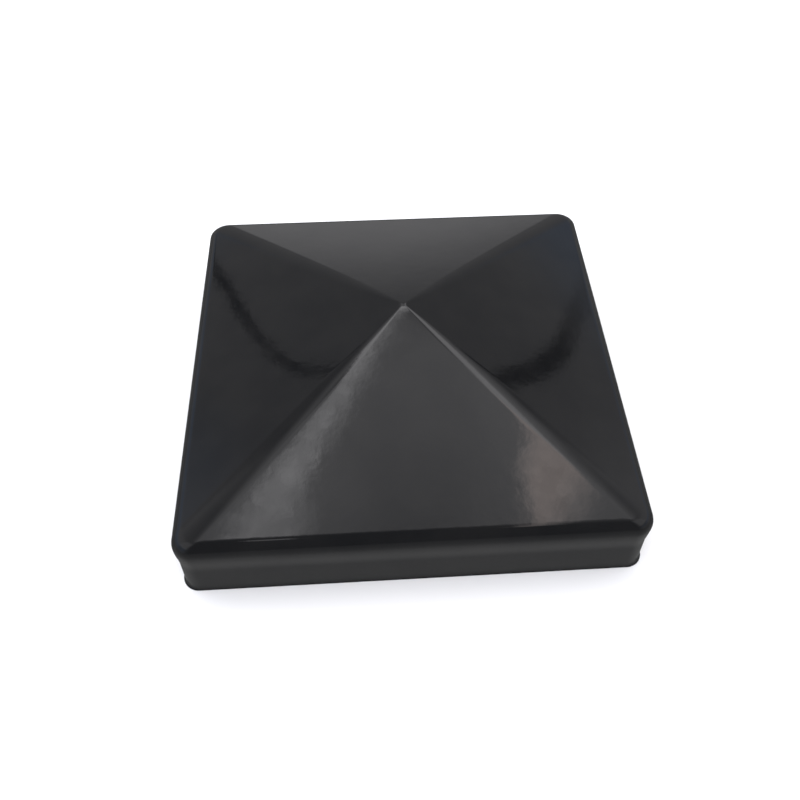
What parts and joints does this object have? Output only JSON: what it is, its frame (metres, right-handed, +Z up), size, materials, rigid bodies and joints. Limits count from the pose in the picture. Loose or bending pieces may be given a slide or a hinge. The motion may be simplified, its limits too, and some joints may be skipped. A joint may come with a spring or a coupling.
{
  "type": "fence post cap",
  "caption": "Low pyramid cap of pressed sheet steel with a short skirt that slides over a square fence post and is held by screws through its sides.",
  "frame": {"origin": "centre of the square outline, in the plane of the rim on which the cap stands", "axes": "+Z up towards the tip, +X out through the skirt side that carries the right-hand screw, +Y towards the plain back side"},
  "size_m": [0.1076, 0.1044, 0.0353],
  "materials": {
    "cap_coating": "gloss black powder coat",
    "screw_finish": "satin black organic coating over zinc",
    "washer_rubber": "matte black sealing rubber"
  },
  "bodies": {
    "root": {"cap_shell": "cap_coating", "fixing_screw_left": "screw_finish", "fixing_screw_right": "screw_finish", "sealing_washer_left": "washer_rubber", "sealing_washer_right": "washer_rubber"}
  },
  "joints": []
}
